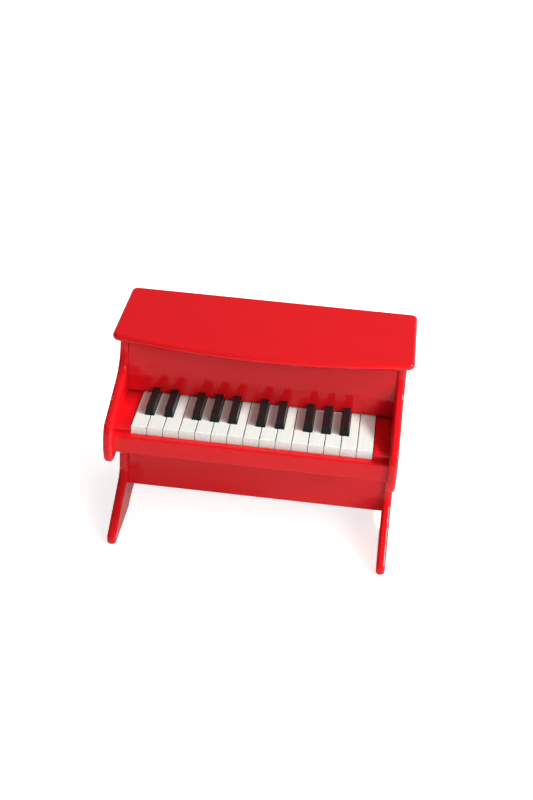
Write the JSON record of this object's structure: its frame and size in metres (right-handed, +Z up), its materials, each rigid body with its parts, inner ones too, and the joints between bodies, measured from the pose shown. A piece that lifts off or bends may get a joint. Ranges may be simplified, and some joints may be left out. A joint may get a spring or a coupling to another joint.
{
  "type": "toy piano",
  "caption": "Small upright toy piano: shaped wooden sides, overhanging lid, panelled front and a row of sprung keys whose hammers strike steel tone rods.",
  "frame": {"origin": "on the floor, under the middle of the piano's overall box", "axes": "+X to the player's right along the keys, +Y from the player to the back, +Z up"},
  "size_m": [0.4204, 0.259, 0.296],
  "materials": {
    "red_lacquer": "thick high-gloss red lacquer on wood",
    "bare_wood": "plain sanded wood",
    "hardboard": "smooth brown hardboard",
    "steel": "bright drawn steel",
    "cast_block": "plain casting",
    "felt": "pressed wool felt",
    "white_key": "satin off-white paint on wood",
    "black_key": "gloss black paint on wood"
  },
  "bodies": {
    "case": {"left_side_panel": "red_lacquer", "right_side_panel": "red_lacquer", "top_lid": "red_lacquer", "upper_front_panel": "red_lacquer", "knee_board": "red_lacquer", "key_slip": "red_lacquer", "left_key_block": "red_lacquer", "right_key_block": "red_lacquer", "key_bed": "bare_wood", "lid_dowels": "bare_wood", "balance_comb": "bare_wood", "rest_rail": "bare_wood", "back_panel": "hardboard", "back_panel_screws": "steel", "rod_block_screws": "steel", "key_pivot_wire": "steel", "key_return_spring": "steel", "tone_rods": "steel", "rod_block": "cast_block", "front_key_felt": "felt", "rest_rail_felt": "felt"},
    "white_key_01": {"white_key_01": "white_key"},
    "white_key_02": {"white_key_02": "white_key"},
    "white_key_03": {"white_key_03": "white_key"},
    "white_key_04": {"white_key_04": "white_key"},
    "white_key_05": {"white_key_05": "white_key"},
    "white_key_06": {"white_key_06": "white_key"},
    "white_key_07": {"white_key_07": "white_key"},
    "white_key_08": {"white_key_08": "white_key"},
    "white_key_09": {"white_key_09": "white_key"},
    "white_key_10": {"white_key_10": "white_key"},
    "white_key_11": {"white_key_11": "white_key"},
    "white_key_12": {"white_key_12": "white_key"},
    "white_key_13": {"white_key_13": "white_key"},
    "white_key_14": {"white_key_14": "white_key"},
    "white_key_15": {"white_key_15": "white_key"},
    "black_key_01": {"black_key_01": "black_key"},
    "black_key_02": {"black_key_02": "black_key"},
    "black_key_03": {"black_key_03": "black_key"},
    "black_key_04": {"black_key_04": "black_key"},
    "black_key_05": {"black_key_05": "black_key"},
    "black_key_06": {"black_key_06": "black_key"},
    "black_key_07": {"black_key_07": "black_key"},
    "black_key_08": {"black_key_08": "black_key"},
    "black_key_09": {"black_key_09": "black_key"},
    "black_key_10": {"black_key_10": "black_key"}
  },
  "joints": [
    {"name": "white_key_01_press", "type": "hinge", "parent": "case", "child": "white_key_01", "pos_m": [0, 0.01, 0.199], "axis": [1, 0, 0], "range_deg": [0, 3.39], "stiffness_Nm_per_rad": 0.5, "springref_deg": -3.44, "deforming": ["key_return_spring"]},
    {"name": "white_key_02_press", "type": "hinge", "parent": "case", "child": "white_key_02", "pos_m": [0, 0.01, 0.199], "axis": [1, 0, 0], "range_deg": [0, 3.39], "stiffness_Nm_per_rad": 0.5, "springref_deg": -3.44, "deforming": ["key_return_spring"]},
    {"name": "white_key_03_press", "type": "hinge", "parent": "case", "child": "white_key_03", "pos_m": [0, 0.01, 0.199], "axis": [1, 0, 0], "range_deg": [0, 3.39], "stiffness_Nm_per_rad": 0.5, "springref_deg": -3.44, "deforming": ["key_return_spring"]},
    {"name": "white_key_04_press", "type": "hinge", "parent": "case", "child": "white_key_04", "pos_m": [0, 0.01, 0.199], "axis": [1, 0, 0], "range_deg": [0, 3.39], "stiffness_Nm_per_rad": 0.5, "springref_deg": -3.44, "deforming": ["key_return_spring"]},
    {"name": "white_key_05_press", "type": "hinge", "parent": "case", "child": "white_key_05", "pos_m": [0, 0.01, 0.199], "axis": [1, 0, 0], "range_deg": [0, 3.39], "stiffness_Nm_per_rad": 0.5, "springref_deg": -3.44, "deforming": ["key_return_spring"]},
    {"name": "white_key_06_press", "type": "hinge", "parent": "case", "child": "white_key_06", "pos_m": [0, 0.01, 0.199], "axis": [1, 0, 0], "range_deg": [0, 3.39], "stiffness_Nm_per_rad": 0.5, "springref_deg": -3.44, "deforming": ["key_return_spring"]},
    {"name": "white_key_07_press", "type": "hinge", "parent": "case", "child": "white_key_07", "pos_m": [0, 0.01, 0.199], "axis": [1, 0, 0], "range_deg": [0, 3.39], "stiffness_Nm_per_rad": 0.5, "springref_deg": -3.44, "deforming": ["key_return_spring"]},
    {"name": "white_key_08_press", "type": "hinge", "parent": "case", "child": "white_key_08", "pos_m": [0, 0.01, 0.199], "axis": [1, 0, 0], "range_deg": [0, 3.39], "stiffness_Nm_per_rad": 0.5, "springref_deg": -3.44, "deforming": ["key_return_spring"]},
    {"name": "white_key_09_press", "type": "hinge", "parent": "case", "child": "white_key_09", "pos_m": [0, 0.01, 0.199], "axis": [1, 0, 0], "range_deg": [0, 3.39], "stiffness_Nm_per_rad": 0.5, "springref_deg": -3.44, "deforming": ["key_return_spring"]},
    {"name": "white_key_10_press", "type": "hinge", "parent": "case", "child": "white_key_10", "pos_m": [0, 0.01, 0.199], "axis": [1, 0, 0], "range_deg": [0, 3.39], "stiffness_Nm_per_rad": 0.5, "springref_deg": -3.44, "deforming": ["key_return_spring"]},
    {"name": "white_key_11_press", "type": "hinge", "parent": "case", "child": "white_key_11", "pos_m": [0, 0.01, 0.199], "axis": [1, 0, 0], "range_deg": [0, 3.39], "stiffness_Nm_per_rad": 0.5, "springref_deg": -3.44, "deforming": ["key_return_spring"]},
    {"name": "white_key_12_press", "type": "hinge", "parent": "case", "child": "white_key_12", "pos_m": [0, 0.01, 0.199], "axis": [1, 0, 0], "range_deg": [0, 3.39], "stiffness_Nm_per_rad": 0.5, "springref_deg": -3.44, "deforming": ["key_return_spring"]},
    {"name": "white_key_13_press", "type": "hinge", "parent": "case", "child": "white_key_13", "pos_m": [0, 0.01, 0.199], "axis": [1, 0, 0], "range_deg": [0, 3.39], "stiffness_Nm_per_rad": 0.5, "springref_deg": -3.44, "deforming": ["key_return_spring"]},
    {"name": "white_key_14_press", "type": "hinge", "parent": "case", "child": "white_key_14", "pos_m": [0, 0.01, 0.199], "axis": [1, 0, 0], "range_deg": [0, 3.39], "stiffness_Nm_per_rad": 0.5, "springref_deg": -3.44, "deforming": ["key_return_spring"]},
    {"name": "white_key_15_press", "type": "hinge", "parent": "case", "child": "white_key_15", "pos_m": [0, 0.01, 0.199], "axis": [1, 0, 0], "range_deg": [0, 3.39], "stiffness_Nm_per_rad": 0.5, "springref_deg": -3.44, "deforming": ["key_return_spring"]},
    {"name": "black_key_01_press", "type": "hinge", "parent": "case", "child": "black_key_01", "pos_m": [0, 0.01, 0.199], "axis": [1, 0, 0], "range_deg": [0, 3.39], "stiffness_Nm_per_rad": 0.5, "springref_deg": -3.44, "deforming": ["key_return_spring"]},
    {"name": "black_key_02_press", "type": "hinge", "parent": "case", "child": "black_key_02", "pos_m": [0, 0.01, 0.199], "axis": [1, 0, 0], "range_deg": [0, 3.39], "stiffness_Nm_per_rad": 0.5, "springref_deg": -3.44, "deforming": ["key_return_spring"]},
    {"name": "black_key_03_press", "type": "hinge", "parent": "case", "child": "black_key_03", "pos_m": [0, 0.01, 0.199], "axis": [1, 0, 0], "range_deg": [0, 3.39], "stiffness_Nm_per_rad": 0.5, "springref_deg": -3.44, "deforming": ["key_return_spring"]},
    {"name": "black_key_04_press", "type": "hinge", "parent": "case", "child": "black_key_04", "pos_m": [0, 0.01, 0.199], "axis": [1, 0, 0], "range_deg": [0, 3.39], "stiffness_Nm_per_rad": 0.5, "springref_deg": -3.44, "deforming": ["key_return_spring"]},
    {"name": "black_key_05_press", "type": "hinge", "parent": "case", "child": "black_key_05", "pos_m": [0, 0.01, 0.199], "axis": [1, 0, 0], "range_deg": [0, 3.39], "stiffness_Nm_per_rad": 0.5, "springref_deg": -3.44, "deforming": ["key_return_spring"]},
    {"name": "black_key_06_press", "type": "hinge", "parent": "case", "child": "black_key_06", "pos_m": [0, 0.01, 0.199], "axis": [1, 0, 0], "range_deg": [0, 3.39], "stiffness_Nm_per_rad": 0.5, "springref_deg": -3.44, "deforming": ["key_return_spring"]},
    {"name": "black_key_07_press", "type": "hinge", "parent": "case", "child": "black_key_07", "pos_m": [0, 0.01, 0.199], "axis": [1, 0, 0], "range_deg": [0, 3.39], "stiffness_Nm_per_rad": 0.5, "springref_deg": -3.44, "deforming": ["key_return_spring"]},
    {"name": "black_key_08_press", "type": "hinge", "parent": "case", "child": "black_key_08", "pos_m": [0, 0.01, 0.199], "axis": [1, 0, 0], "range_deg": [0, 3.39], "stiffness_Nm_per_rad": 0.5, "springref_deg": -3.44, "deforming": ["key_return_spring"]},
    {"name": "black_key_09_press", "type": "hinge", "parent": "case", "child": "black_key_09", "pos_m": [0, 0.01, 0.199], "axis": [1, 0, 0], "range_deg": [0, 3.39], "stiffness_Nm_per_rad": 0.5, "springref_deg": -3.44, "deforming": ["key_return_spring"]},
    {"name": "black_key_10_press", "type": "hinge", "parent": "case", "child": "black_key_10", "pos_m": [0, 0.01, 0.199], "axis": [1, 0, 0], "range_deg": [0, 3.39], "stiffness_Nm_per_rad": 0.5, "springref_deg": -3.44, "deforming": ["key_return_spring"]}
  ]
}
